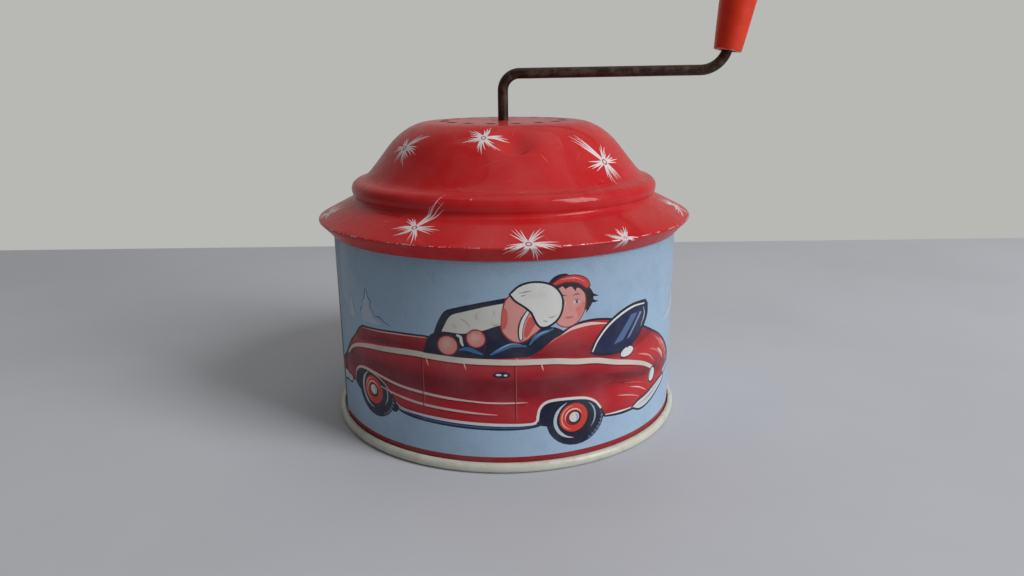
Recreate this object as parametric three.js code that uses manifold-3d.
// Tin music box with a hand crank: a round lithographed tin, and inside it a small comb movement
// whose worm sits on the crank shaft. Millimetres, +Z up. The origin is on the crank axis, at the
// level of the surface that the tin stands on. At rest the crank arm points along +X.
import * as THREE from "three";
import { mergeVertices } from "three/addons/utils/BufferGeometryUtils.js";
import Module from "manifold-3d";

const wasm = await Module();
wasm.setup();

// ---- driving dimensions -------------------------------------------------------------------

const SHEET = 0.4; // tinplate thickness
const ROUND = 40; // facets around the tin
const SMALL_ROUND = 12; // facets around bushes, collars and screws
const GAP = 0.05; // left between pieces that are fastened face to face

const BODY_R = 42; // outside of the cylindrical wall
const BODY_TOP = 48.2; // where the wall starts to turn out under the cover

const COVER_TOP = 71.6;
const CRANK_HOLE_R = 1.7;
const SOUND_HOLES = 16;
const SOUND_HOLE_R = 1.15;
const SOUND_RING_R = 14.5;

const RIM_R = 43.5; // outside of the base's rolled rim
const RIM_TOP = 2.2;
const PANEL_RECESS = 0.6; // the base panel stands this far above the rim it rests on

const SEAM_AZIMUTH = THREE.MathUtils.degToRad(203); // side seam, measured from +X
const SEAM_WIDTH = 3.2;
const SEAM_HEIGHT = 0.3;
const SEAM_TOP = 46; // the lap ends just under the cover's hem

const WIRE_R = 1.25; // crank wire
const ARM_Z = 82.4; // centre of the arm where it leaves the shaft
const ARM_RISE = THREE.MathUtils.degToRad(0.45);
const ARM_REACH = 53; // shaft axis to the corner under the knob
const SHAFT_BEND_R = 4;
const PIN_BEND_R = 6.5;
const SHAFT_BORE_R = 1.36; // bore of the worm and the collar
const BRIDGE_BORE_R = 1.45;
const PIN_LEAN = THREE.MathUtils.degToRad(8.5); // the pin leans out from the vertical

const KNOB_LENGTH = 26.2;
const KNOB_LOWER_R = 3.3;
const KNOB_UPPER_R = 5.3;
const KNOB_START = 4.35; // along the pin, from the corner to the knob's lower face

const MODULE = 0.8; // worm and wheel
const WORM_PITCH_R = 4;
const WHEEL_TEETH = 24;
const TOOTH_SHARE = 0.4; // tooth thickness as a share of the pitch, which leaves backlash
const WHEEL_WIDTH = 3;
const DRUM_Z = 16; // height of the drum's axis

const PLATE_THICKNESS = 2;
const RIVET_HOLE_R = 1.15;
const TAPPED_R = 1.05; // screw holes in the plate and the comb block
const CLEARANCE_R = 1.1; // screw holes in what the screws hold down
const BRACKET_SHEET = 1.2;
const ARBOR_R = 1.15;
const ARBOR_BORE_R = 1.3; // running bores and the bores of what is pressed on the arbor
const DRUM_R = 6.5;
const DRUM_START = 5;
const DRUM_END = 29;
const PIN_HEIGHT = 0.8; // drum pins above the drum
const COMB_CLEARANCE = 0.35; // tooth tips stand this far back from the path of the pins
const COMB_TEETH = 14;
const COMB_PITCH = 1.6;

// ---- sizes that follow from them ----------------------------------------------------------

const PANEL_TOP = PANEL_RECESS + SHEET;
const PLATE_Z = PANEL_TOP + GAP;
const PLATE_TOP = PLATE_Z + PLATE_THICKNESS;
const ON_PLATE = PLATE_TOP + GAP;
const AXIAL_PITCH = Math.PI * MODULE;
const WHEEL_PITCH_R = (MODULE * WHEEL_TEETH) / 2;
const DRUM_Y = WORM_PITCH_R + WHEEL_PITCH_R;
const COMB_TIP_Y = DRUM_Y - DRUM_R - PIN_HEIGHT - COMB_CLEARANCE;

// ---- helpers ------------------------------------------------------------------------------

// A closed geometry as a manifold-3d solid, with its shared vertices merged.
function solidOf(geometry) {
  const bare = geometry.index ? geometry.toNonIndexed() : geometry.clone();
  bare.deleteAttribute("normal");
  bare.deleteAttribute("uv");
  const merged = mergeVertices(bare, 1e-4);
  const vertProperties = merged.attributes.position.array;
  const triVerts = new Uint32Array(merged.index.array);
  return new wasm.Manifold(new wasm.Mesh({ numProp: 3, vertProperties, triVerts }));
}

// A manifold-3d solid as a flat-shaded geometry.
function geometryOf(solid) {
  const mesh = solid.getMesh();
  const geometry = new THREE.BufferGeometry();
  geometry.setAttribute("position", new THREE.BufferAttribute(mesh.vertProperties, 3));
  geometry.setIndex(new THREE.BufferAttribute(mesh.triVerts, 1));
  const flat = geometry.toNonIndexed();
  flat.computeVertexNormals();
  return flat;
}

const joined = (first, ...rest) =>
  geometryOf(rest.reduce((solid, geometry) => solid.add(solidOf(geometry)), solidOf(first)));

const cut = (first, ...rest) =>
  geometryOf(rest.reduce((solid, geometry) => solid.subtract(solidOf(geometry)), solidOf(first)));

// Twice the signed area of a closed profile.
function doubleArea(profile) {
  return profile.reduce((sum, [r, z], i) => {
    const [nextR, nextZ] = profile[(i + 1) % profile.length];
    return sum + r * nextZ - nextR * z;
  }, 0);
}

// A solid of revolution about +Z. The profile is a closed list of [radius, height].
function turned(profile, facets = SMALL_ROUND) {
  const wound = doubleArea(profile) > 0 ? profile : [...profile].reverse();
  const points = [...wound, wound[0]].map(([r, z]) => new THREE.Vector2(r, z));
  return new THREE.LatheGeometry(points, facets).rotateX(Math.PI / 2);
}

// The same about +X: the profile is a closed list of [radius, x].
const turnedAlongX = (profile, facets) => turned(profile, facets).rotateY(Math.PI / 2);

// The section of a pressed sheet: the outer outline, and the same outline moved inwards.
function sheetSection(outline, thickness = SHEET) {
  const inner = outline.map(([r, z], i) => {
    const [beforeR, beforeZ] = outline[Math.max(i - 1, 0)];
    const [afterR, afterZ] = outline[Math.min(i + 1, outline.length - 1)];
    const before = new THREE.Vector2(r - beforeR, z - beforeZ).normalize();
    const after = new THREE.Vector2(afterR - r, afterZ - z).normalize();
    const along = before.clone().add(after).normalize();
    const halfTurn = Math.max(before.length() && after.length() ? along.dot(after) : 1, 0.3);
    return [r - (-along.y * thickness) / halfTurn, z - (along.x * thickness) / halfTurn];
  });
  return [...outline, ...inner.reverse()];
}

// A flat plate with round holes, from z = 0 up. Holes are [x, y, radius].
function plate(outline, thickness, holes = []) {
  const isShape = outline instanceof THREE.Shape;
  const shape = isShape ? outline : new THREE.Shape(outline.map(([x, y]) => new THREE.Vector2(x, y)));
  for (const [x, y, r] of holes) {
    shape.holes.push(new THREE.Path().absarc(x, y, r, 0, 2 * Math.PI, true));
  }
  return new THREE.ExtrudeGeometry(shape, { depth: thickness, bevelEnabled: false, curveSegments: 5 });
}

// A rectangle with rounded corners.
function roundedRectangle(x0, y0, x1, y1, r) {
  const shape = new THREE.Shape();
  shape.absarc(x1 - r, y1 - r, r, 0, Math.PI / 2);
  shape.absarc(x0 + r, y1 - r, r, Math.PI / 2, Math.PI);
  shape.absarc(x0 + r, y0 + r, r, Math.PI, 1.5 * Math.PI);
  shape.absarc(x1 - r, y0 + r, r, 1.5 * Math.PI, 2 * Math.PI);
  return shape;
}

const rod = (r, z0, z1, facets = SMALL_ROUND) => turned([[0, z0], [r, z0], [r, z1], [0, z1]], facets);

const block = (x0, y0, z0, x1, y1, z1) =>
  new THREE.BoxGeometry(x1 - x0, y1 - y0, z1 - z0).translate((x0 + x1) / 2, (y0 + y1) / 2, (z0 + z1) / 2);

const paint = (color, roughness, metalness) =>
  new THREE.MeshStandardMaterial({ color, roughness, metalness });

const FINISH = {
  redLitho: paint(0xb92d2d, 0.35, 0.1),
  blueLitho: paint(0x9db3c8, 0.4, 0.1),
  creamEnamel: paint(0xc8c8b4, 0.5, 0.1),
  darkSteel: paint(0x3c2d28, 0.45, 0.8),
  redPaint: paint(0xd74119, 0.4, 0),
  zinc: paint(0x9c9d9a, 0.45, 0.9),
  brass: paint(0xb48c3c, 0.35, 0.9),
  springSteel: paint(0x6f7276, 0.3, 0.95),
  plainSteel: paint(0xa8a9ab, 0.3, 0.95),
};

const part = new THREE.Group();
part.name = "tin_music_box";

function addPiece(name, geometry, material, parent = part) {
  const mesh = new THREE.Mesh(geometry, material);
  mesh.name = name;
  parent.add(mesh);
  return mesh;
}

// ---- the tin ------------------------------------------------------------------------------

// Domed cover: flat top, shoulder, bead, neck, then a wide flange hemmed in under its edge.
function topCover() {
  const outline = [
    [CRANK_HOLE_R, COVER_TOP],
    [12, COVER_TOP],
    [19.5, 71.3],
    [21.5, 70.7],
    [24, 69.4],
    [27, 66.9],
    [30, 63.2],
    [32, 60.8],
    [34, 58.9],
    [35.5, 58.2],
    [36.5, 57.6],
    [37.1, 56.2],
    [36.8, 54.3],
    [37.5, 53.65],
    [45.3, 49.7],
    [42.5, 46.4],
  ];
  const punches = Array.from({ length: SOUND_HOLES }, (_, i) =>
    rod(SOUND_HOLE_R, COVER_TOP - 2, COVER_TOP + 1, 8)
      .translate(SOUND_RING_R, 0, 0)
      .rotateZ(((i + 0.5) * 2 * Math.PI) / SOUND_HOLES),
  );
  return cut(turned(sheetSection(outline), ROUND), ...punches);
}

// Cylindrical wall, turned out at both ends inside the rolled seams, with its lapped side seam.
function bodyShell() {
  const outline = [
    [BODY_R + 1.6, BODY_TOP + 1.1],
    [BODY_R, BODY_TOP],
    [BODY_R, 1.9],
    [BODY_R + 0.8, 1.1],
  ];
  const lapFoot = RIM_TOP + 0.4;
  const half = SEAM_WIDTH / 2;
  const lap = block(BODY_R - SHEET / 2, -half, lapFoot, BODY_R + SEAM_HEIGHT, half, SEAM_TOP);
  return joined(turned(sheetSection(outline), ROUND), lap.rotateZ(SEAM_AZIMUTH));
}

const RIVETS = [
  [-11.5, -13.5],
  [33, -13.5],
  [4, 17],
  [21, 17],
];

// Base: a recessed panel inside a flat ring to stand on, its edge rolled round the wall's end.
function basePan() {
  const outline = [
    [42.3, RIM_TOP],
    [43, RIM_TOP - 0.15],
    [RIM_R - 0.1, 1.65],
    [RIM_R, 1.1],
    [RIM_R - 0.1, 0.5],
    [RIM_R - 0.7, 0],
    [39.6, 0],
    [38.8, PANEL_RECESS],
    [0, PANEL_RECESS],
  ];
  const holes = RIVETS.map(([x, y]) => rod(RIVET_HOLE_R, -1, 3, 12).translate(x, y, 0));
  return cut(turned(sheetSection(outline), ROUND), ...holes);
}

addPiece("top_cover", topCover(), FINISH.redLitho);
addPiece("body_shell", bodyShell(), FINISH.blueLitho);
addPiece("base_pan", basePan(), FINISH.creamEnamel);

// ---- the movement's frame -----------------------------------------------------------------

const BRIDGE_SCREWS = [
  [-2.5, -12],
  [2.5, -12],
];
const COMB_SCREWS = [
  [12.5, -10.2],
  [24, -10.2],
];
const LEFT_WALL_X = -5.2;
const RIGHT_WALL_X = 31;
const LEFT_FOOT_SCREW = [-8.8, DRUM_Y];
const RIGHT_FOOT_SCREW = [27.6, DRUM_Y];

// Bedplate, riveted to the base panel.
function movementPlate() {
  const outline = roundedRectangle(-15, -17, 36, 20.5, 5);
  const tapped = [...BRIDGE_SCREWS, LEFT_FOOT_SCREW, RIGHT_FOOT_SCREW];
  const holes = [
    ...RIVETS.map(([x, y]) => [x, y, RIVET_HOLE_R]),
    ...tapped.map(([x, y]) => [x, y, TAPPED_R]),
    [0, 0, 2],
  ];
  return plate(outline, PLATE_THICKNESS, holes).translate(0, 0, PLATE_Z);
}

// Plate rivet, closed over both faces.
function plateRivet() {
  const profile = [
    [0, 0.2],
    [1.7, 0.2],
    [1.95, 0.34],
    [1.95, PANEL_RECESS - GAP],
    [1, PANEL_RECESS - GAP],
    [1, ON_PLATE],
    [1.8, ON_PLATE],
    [1.5, ON_PLATE + 0.55],
    [0.7, ON_PLATE + 0.85],
    [0, ON_PLATE + 0.9],
  ];
  return turned(profile, 10);
}

// Slotted pan-head screw: the shank hangs below z = 0, the head stands on it.
function screw(shankLength, shankR = 0.95, headR = 1.9, headHeight = 1.25) {
  const profile = [
    [0, -shankLength],
    [shankR - 0.25, -shankLength],
    [shankR, 0.3 - shankLength],
    [shankR, 0],
    [headR, 0],
    [headR, headHeight * 0.6],
    [headR * 0.78, headHeight],
    [0, headHeight],
  ];
  const slot = block(-headR - 1, -0.25, headHeight - 0.55, headR + 1, 0.25, headHeight + 1);
  return cut(turned(profile, 10), slot);
}

// Drum bracket: a wall with the arbor's bore and a foot bent over at its lower end.
function drumBracket(wallX, footX0, footX1, screwAt) {
  const halfWidth = 4;
  const top = DRUM_Z + 4;
  const wall = new THREE.Shape();
  wall.moveTo(-halfWidth, ON_PLATE);
  wall.lineTo(halfWidth, ON_PLATE);
  wall.absarc(0, top - halfWidth, halfWidth, 0, Math.PI);
  wall.closePath();
  const upright = plate(wall, BRACKET_SHEET, [[0, DRUM_Z, ARBOR_BORE_R]])
    .rotateX(Math.PI / 2)
    .rotateZ(Math.PI / 2)
    .translate(wallX, DRUM_Y, 0);
  const footOutline = roundedRectangle(footX0, DRUM_Y - halfWidth, footX1, DRUM_Y + halfWidth, 0.6);
  const foot = plate(footOutline, BRACKET_SHEET, [[...screwAt, CLEARANCE_R]]).translate(0, 0, ON_PLATE);
  return joined(upright, foot);
}

// Bridge over the worm: foot, upright and a top arm that steadies the crank shaft.
const BRIDGE_ARM_Z = 28;
function wormBridge() {
  const backY = -9;
  const foot = plate(roundedRectangle(-5, -15, 5, backY + BRACKET_SHEET, 0.6), BRACKET_SHEET, [
    [...BRIDGE_SCREWS[0], CLEARANCE_R],
    [...BRIDGE_SCREWS[1], CLEARANCE_R],
  ]).translate(0, 0, ON_PLATE);
  const upright = block(-5, backY, ON_PLATE, 5, backY + BRACKET_SHEET, BRIDGE_ARM_Z + BRACKET_SHEET);
  const armOutline = new THREE.Shape();
  armOutline.moveTo(-5, backY);
  armOutline.lineTo(5, backY);
  armOutline.absarc(0, 0, 5, 0, Math.PI);
  armOutline.closePath();
  const arm = plate(armOutline, BRACKET_SHEET, [[0, 0, BRIDGE_BORE_R]]).translate(0, 0, BRIDGE_ARM_Z);
  return joined(foot, upright, arm);
}

// Brass bush in the plate: the shaft's lower end stands in its blind bore.
const FOOTSTEP_FLOOR = 4.3;
function footstepBush() {
  const profile = [
    [0, PLATE_Z + 0.1],
    [1.85, PLATE_Z + 0.1],
    [1.85, ON_PLATE],
    [3.6, ON_PLATE],
    [3.6, ON_PLATE + 0.9],
    [2.7, ON_PLATE + 1.1],
    [2.7, 6.4],
    [1.4, 6.4],
    [1.4, FOOTSTEP_FLOOR],
    [0, FOOTSTEP_FLOOR],
  ];
  return turned(profile);
}

const COMB_Z = DRUM_Z - 0.4;
const COMB_THICKNESS = 0.8;
const COMB_X0 = 6.6;
const COMB_X1 = COMB_X0 + COMB_TEETH * COMB_PITCH;
const COMB_BACK_Y = -13.4;
const CLAMP_THICKNESS = 1.5;

// Block that carries the comb at the drum's height.
function combBlock() {
  const height = COMB_Z - GAP - ON_PLATE;
  const outline = roundedRectangle(COMB_X0 + 0.2, COMB_BACK_Y, COMB_X1 - 0.2, -6.4, 0.8);
  const holes = COMB_SCREWS.map(([x, y]) => [x, y, TAPPED_R]);
  return plate(outline, height, holes).translate(0, 0, ON_PLATE);
}

// Comb: one steel plate, slit from the front into teeth.
function musicComb() {
  const slit = 0.4;
  const slitEnd = (i) => -4 - 1.5 * (1 - i / COMB_TEETH); // longer teeth at the bass end
  const outline = [
    [COMB_X0, COMB_BACK_Y],
    [COMB_X1, COMB_BACK_Y],
  ];
  for (let i = COMB_TEETH - 1; i >= 0; i--) {
    const left = COMB_X0 + i * COMB_PITCH + slit / 2;
    const right = left + COMB_PITCH - slit;
    if (i < COMB_TEETH - 1) outline.push([right, slitEnd(i + 1)]);
    outline.push([right, COMB_TIP_Y - 1], [right - 0.3, COMB_TIP_Y]);
    outline.push([left + 0.3, COMB_TIP_Y], [left, COMB_TIP_Y - 1]);
    if (i > 0) outline.push([left, slitEnd(i)]);
  }
  const holes = COMB_SCREWS.map(([x, y]) => [x, y, CLEARANCE_R]);
  return plate(outline, COMB_THICKNESS, holes).translate(0, 0, COMB_Z);
}

// Bar that clamps the comb's root to the block.
function combClamp() {
  const outline = roundedRectangle(COMB_X0 + 1, COMB_BACK_Y + 0.4, COMB_X1 - 1, -7.4, 0.6);
  const holes = COMB_SCREWS.map(([x, y]) => [x, y, CLEARANCE_R]);
  return plate(outline, CLAMP_THICKNESS, holes).translate(0, 0, COMB_Z + COMB_THICKNESS + GAP);
}

addPiece("movement_plate", movementPlate(), FINISH.zinc);
RIVETS.forEach(([x, y], i) => {
  addPiece(`plate_rivet_${i + 1}`, plateRivet(), FINISH.plainSteel).position.set(x, y, 0);
});
addPiece(
  "drum_bracket_left",
  drumBracket(LEFT_WALL_X, -12.4, LEFT_WALL_X + BRACKET_SHEET, LEFT_FOOT_SCREW),
  FINISH.zinc,
);
addPiece(
  "drum_bracket_right",
  drumBracket(RIGHT_WALL_X, 24, RIGHT_WALL_X + BRACKET_SHEET, RIGHT_FOOT_SCREW),
  FINISH.zinc,
);
addPiece("worm_bridge", wormBridge(), FINISH.zinc);
addPiece("footstep_bush", footstepBush(), FINISH.brass);
addPiece("comb_block", combBlock(), FINISH.zinc);
addPiece("music_comb", musicComb(), FINISH.springSteel);
addPiece("comb_clamp", combClamp(), FINISH.brass);

const FOOT_TOP = ON_PLATE + BRACKET_SHEET + GAP;
const CLAMP_TOP = COMB_Z + COMB_THICKNESS + CLAMP_THICKNESS + 2 * GAP;
const footScrews = {
  bridge_screw_1: BRIDGE_SCREWS[0],
  bridge_screw_2: BRIDGE_SCREWS[1],
  bracket_screw_left: LEFT_FOOT_SCREW,
  bracket_screw_right: RIGHT_FOOT_SCREW,
};
for (const [name, [x, y]] of Object.entries(footScrews)) {
  addPiece(name, screw(2.9), FINISH.plainSteel).position.set(x, y, FOOT_TOP);
}
COMB_SCREWS.forEach(([x, y], i) => {
  addPiece(`comb_screw_${i + 1}`, screw(8), FINISH.plainSteel).position.set(x, y, CLAMP_TOP);
});

// ---- crank, turning about +Z --------------------------------------------------------------

const crank = new THREE.Group();
part.add(crank);

// Frame of the pin: its origin is the knob's lower face, its +Z runs along the pin.
const pinCorner = new THREE.Vector3(ARM_REACH, 0, ARM_Z + ARM_REACH * Math.tan(ARM_RISE));
const pinDirection = new THREE.Vector3(Math.sin(PIN_LEAN), 0, Math.cos(PIN_LEAN));
const knobSeat = pinCorner.clone().addScaledVector(pinDirection, KNOB_START);
const PIN_END = KNOB_LENGTH + 0.9;

// The wire's centre line: straight runs joined by arcs, each with its own count of steps.
class WirePath extends THREE.Curve {
  constructor(corners, bendRadii, arcSteps) {
    super();
    this.points = [corners[0]];
    corners.slice(1, -1).forEach((corner, i) => {
      const before = corners[i].clone().sub(corner).normalize();
      const after = corners[i + 2].clone().sub(corner).normalize();
      const halfAngle = before.angleTo(after) / 2;
      const tangent = bendRadii[i] / Math.tan(halfAngle);
      const start = corner.clone().addScaledVector(before, tangent);
      const toCentre = before.clone().add(after).normalize();
      const centre = corner.clone().addScaledVector(toCentre, bendRadii[i] / Math.sin(halfAngle));
      const turn = Math.PI - 2 * halfAngle;
      const axis = new THREE.Vector3().crossVectors(before, after).normalize();
      for (let step = 0; step <= arcSteps; step++) {
        const spoke = start.clone().sub(centre).applyAxisAngle(axis, (-turn * step) / arcSteps);
        this.points.push(centre.clone().add(spoke));
      }
    });
    this.points.push(corners.at(-1));
  }

  getPoint(t) {
    const place = t * (this.points.length - 1);
    const index = Math.min(Math.floor(place), this.points.length - 2);
    return this.points[index].clone().lerp(this.points[index + 1], place - index);
  }

  // The tangent at a joint of the list is the mean of its two sides.
  getTangent(t) {
    const place = Math.round(t * (this.points.length - 1));
    const before = this.points[Math.max(place - 1, 0)];
    const after = this.points[Math.min(place + 1, this.points.length - 1)];
    return after.clone().sub(before).normalize();
  }

  // Steps follow the list of points, not the distance along it.
  getUtoTmapping(u) {
    return u;
  }
}

function crankWire() {
  const corners = [
    new THREE.Vector3(0, 0, FOOTSTEP_FLOOR + 0.1),
    new THREE.Vector3(0, 0, ARM_Z),
    pinCorner,
    knobSeat.clone().addScaledVector(pinDirection, PIN_END),
  ];
  const path = new WirePath(corners, [SHAFT_BEND_R, PIN_BEND_R], 7);
  const section = new THREE.Shape().absarc(0, 0, WIRE_R, 0, 2 * Math.PI);
  const wire = new THREE.ExtrudeGeometry(section, {
    steps: path.points.length - 1,
    extrudePath: path,
    curveSegments: 6,
  });
  const peened = turned([
    [0, PIN_END - 0.6],
    [1.2, PIN_END - 0.05],
    [1.9, PIN_END],
    [1.7, PIN_END + 0.5],
    [0.9, PIN_END + 0.85],
    [0, PIN_END + 0.95],
  ], 12);
  peened.rotateY(PIN_LEAN).translate(knobSeat.x, 0, knobSeat.z);
  return joined(wire, peened);
}

// Single-start right-hand worm. One thread crosses the wheel's side of the shaft at the height
// of the drum's axis.
const WORM_HALF = 6.2;
function worm() {
  const rootR = WORM_PITCH_R - 1.25 * MODULE;
  const tipR = WORM_PITCH_R + MODULE;
  const slope = Math.tan(THREE.MathUtils.degToRad(20));
  const halfAtPitch = (TOOTH_SHARE * AXIAL_PITCH) / 2;
  const buriedR = rootR - 0.4;
  const halfAt = (r) => halfAtPitch + (WORM_PITCH_R - r) * slope;
  const section = [
    [buriedR, -halfAt(buriedR)],
    [tipR, -halfAt(tipR)],
    [tipR, halfAt(tipR)],
    [buriedR, halfAt(buriedR)],
  ];
  const turns = 4;
  const stepsPerTurn = 18;
  const steps = turns * stepsPerTurn;
  const positions = [];
  for (let step = 0; step <= steps; step++) {
    const turn = step / stepsPerTurn - turns / 2;
    const angle = Math.PI / 2 + turn * 2 * Math.PI;
    for (const [r, z] of section) {
      positions.push(r * Math.cos(angle), r * Math.sin(angle), DRUM_Z + turn * AXIAL_PITCH + z);
    }
  }
  const sides = section.length;
  const index = [0, 1, 2, 0, 2, 3];
  for (let step = 0; step < steps; step++) {
    for (let side = 0; side < sides; side++) {
      const a = step * sides + side;
      const b = step * sides + ((side + 1) % sides);
      index.push(a, a + sides, b, b, a + sides, b + sides);
    }
  }
  const end = steps * sides;
  index.push(end, end + 2, end + 1, end, end + 3, end + 2);
  const thread = new THREE.BufferGeometry();
  thread.setAttribute("position", new THREE.Float32BufferAttribute(positions, 3));
  thread.setIndex(index);
  const core = turned([
    [SHAFT_BORE_R, DRUM_Z - WORM_HALF],
    [rootR - 0.4, DRUM_Z - WORM_HALF],
    [rootR, DRUM_Z - WORM_HALF + 0.4],
    [rootR, DRUM_Z + WORM_HALF - 0.4],
    [rootR - 0.4, DRUM_Z + WORM_HALF],
    [SHAFT_BORE_R, DRUM_Z + WORM_HALF],
  ]);
  return joined(core, thread);
}

// Collar under the bridge: it stops the shaft from being pulled up out of the tin.
function shaftCollar() {
  const top = BRIDGE_ARM_Z - 0.2;
  return turned([
    [SHAFT_BORE_R, top - 3.4],
    [2.9, top - 3.4],
    [3.1, top - 3.2],
    [3.1, top - 0.2],
    [2.9, top],
    [SHAFT_BORE_R, top],
  ]);
}

addPiece("crank_wire", crankWire(), FINISH.darkSteel, crank);
addPiece("worm", worm(), FINISH.brass, crank);
addPiece("shaft_collar", shaftCollar(), FINISH.brass, crank);

// The pin's own frame holds what sits on it: its origin is the knob's lower face.
const pin = new THREE.Group();
pin.position.copy(knobSeat);
pin.rotation.y = PIN_LEAN;
crank.add(pin);

const washer = turned([
  [1.55, KNOB_LENGTH + 0.12],
  [2.7, KNOB_LENGTH + 0.12],
  [2.7, KNOB_LENGTH + 0.6],
  [1.55, KNOB_LENGTH + 0.6],
]);
addPiece("knob_washer", washer, FINISH.plainSteel, pin);

// ---- knob, turning freely on the pin ------------------------------------------------------

// Turned and painted wood: it widens upwards, with a rounded top and a relief round the bend.
function crankKnob() {
  const boreR = 1.6;
  const shoulder = KNOB_LENGTH - 5;
  return turned([
    [2.1, 0],
    [KNOB_LOWER_R - 0.25, 0],
    [KNOB_LOWER_R, 0.25],
    [KNOB_LOWER_R + 1.05, 12],
    [KNOB_UPPER_R - 0.1, shoulder - 3],
    [KNOB_UPPER_R, shoulder],
    [KNOB_UPPER_R - 0.3, shoulder + 2],
    [KNOB_UPPER_R - 1.2, shoulder + 3.9],
    [2.9, KNOB_LENGTH - 0.1],
    [2.6, KNOB_LENGTH],
    [boreR, KNOB_LENGTH],
    [boreR, 2.6],
    [2.1, 2.4],
  ], 20);
}

addPiece("crank_knob", crankKnob(), FINISH.redPaint, pin);

// ---- drum, turning about +X ---------------------------------------------------------------

const drum = new THREE.Group();
drum.position.set(0, DRUM_Y, DRUM_Z);
part.add(drum);

// Worm wheel with straight-sided teeth, slanted by the worm's lead. A gap faces the worm.
function wormWheel() {
  const rootR = WHEEL_PITCH_R - 1.25 * MODULE;
  const tipR = WHEEL_PITCH_R + MODULE;
  const slope = Math.tan(THREE.MathUtils.degToRad(20));
  const halfAt = (r) => ((TOOTH_SHARE * AXIAL_PITCH) / 2 + (WHEEL_PITCH_R - r) * slope) / r;
  const outline = new THREE.Shape();
  for (let tooth = 0; tooth < WHEEL_TEETH; tooth++) {
    const middle = ((tooth + 0.5) * 2 * Math.PI) / WHEEL_TEETH;
    for (const [r, side] of [[rootR, -1], [tipR, -1], [tipR, 1], [rootR, 1]]) {
      const angle = middle + side * halfAt(r);
      if (tooth === 0 && r === rootR && side < 0) outline.moveTo(r * Math.cos(angle), r * Math.sin(angle));
      else outline.lineTo(r * Math.cos(angle), r * Math.sin(angle));
    }
  }
  outline.closePath();
  outline.holes.push(new THREE.Path().absarc(0, 0, ARBOR_BORE_R, 0, 2 * Math.PI, true));
  const rim = new THREE.ExtrudeGeometry(outline, {
    depth: WHEEL_WIDTH,
    steps: 2,
    bevelEnabled: false,
    curveSegments: 6,
  });
  // The outline's X and Y become the wheel's Y and Z, and its depth runs along X.
  rim.translate(0, 0, -WHEEL_WIDTH / 2).rotateX(Math.PI / 2).rotateZ(Math.PI / 2);
  const lead = AXIAL_PITCH / (2 * Math.PI * WORM_PITCH_R);
  const place = rim.attributes.position;
  for (let i = 0; i < place.count; i++) {
    const turn = (place.getX(i) * lead) / WHEEL_PITCH_R;
    const [y, z] = [place.getY(i), place.getZ(i)];
    const [cos, sin] = [Math.cos(turn), Math.sin(turn)];
    place.setXYZ(i, place.getX(i), y * cos - z * sin, y * sin + z * cos);
  }
  const hubR = 3.2;
  const hubEnd = DRUM_START - 1.1;
  const hub = turnedAlongX([[ARBOR_BORE_R, 1], [hubR, 1], [hubR, hubEnd], [ARBOR_BORE_R, hubEnd]]);
  return joined(rim, hub);
}

const DRUM_FACETS = 24;

// Drum: a brass tube set with pins, one for each note of the tune.
function pinnedDrum() {
  const notes = 56;
  const tube = turnedAlongX([
    [DRUM_R - 0.6, DRUM_START],
    [DRUM_R, DRUM_START],
    [DRUM_R, DRUM_END],
    [DRUM_R - 0.6, DRUM_END],
  ], DRUM_FACETS);
  const pins = Array.from({ length: notes }, (_, i) => {
    const tooth = (i * 5 + Math.floor(i / COMB_TEETH) * 3) % COMB_TEETH;
    const x = COMB_X0 + (tooth + 0.5) * COMB_PITCH;
    const angle = (i * 2 * Math.PI) / notes;
    return rod(0.3, DRUM_R - 0.3, DRUM_R + PIN_HEIGHT, 4).translate(x, 0, 0).rotateX(angle);
  });
  return joined(tube, ...pins);
}

// Cap pressed into an end of the drum. The profile is [radius, distance inwards from the end].
function drumEndCap() {
  return [
    [1.25, -0.8],
    [DRUM_R - 0.1, -0.8],
    [DRUM_R - 0.1, -GAP],
    [DRUM_R - 0.75, -GAP],
    [DRUM_R - 0.75, 1.6],
    [1.25, 1.6],
  ];
}

const arborStart = LEFT_WALL_X - 1.3;
const arborEnd = RIGHT_WALL_X + BRACKET_SHEET + 1.3;
const arbor = turnedAlongX([
  [0, arborStart],
  [ARBOR_R - 0.3, arborStart],
  [ARBOR_R, arborStart + 0.3],
  [ARBOR_R, arborEnd - 0.3],
  [ARBOR_R - 0.3, arborEnd],
  [0, arborEnd],
]);
const leftCap = drumEndCap().map(([r, inwards]) => [r, DRUM_START + inwards]);
const rightCap = drumEndCap().map(([r, inwards]) => [r, DRUM_END - inwards]);
addPiece("drum_arbor", arbor, FINISH.plainSteel, drum);
addPiece("pinned_drum", pinnedDrum(), FINISH.brass, drum);
addPiece("drum_end_cap_left", turnedAlongX(leftCap, DRUM_FACETS), FINISH.brass, drum);
addPiece("drum_end_cap_right", turnedAlongX(rightCap, DRUM_FACETS), FINISH.brass, drum);
addPiece("worm_wheel", wormWheel(), FINISH.brass, drum);

export default part;
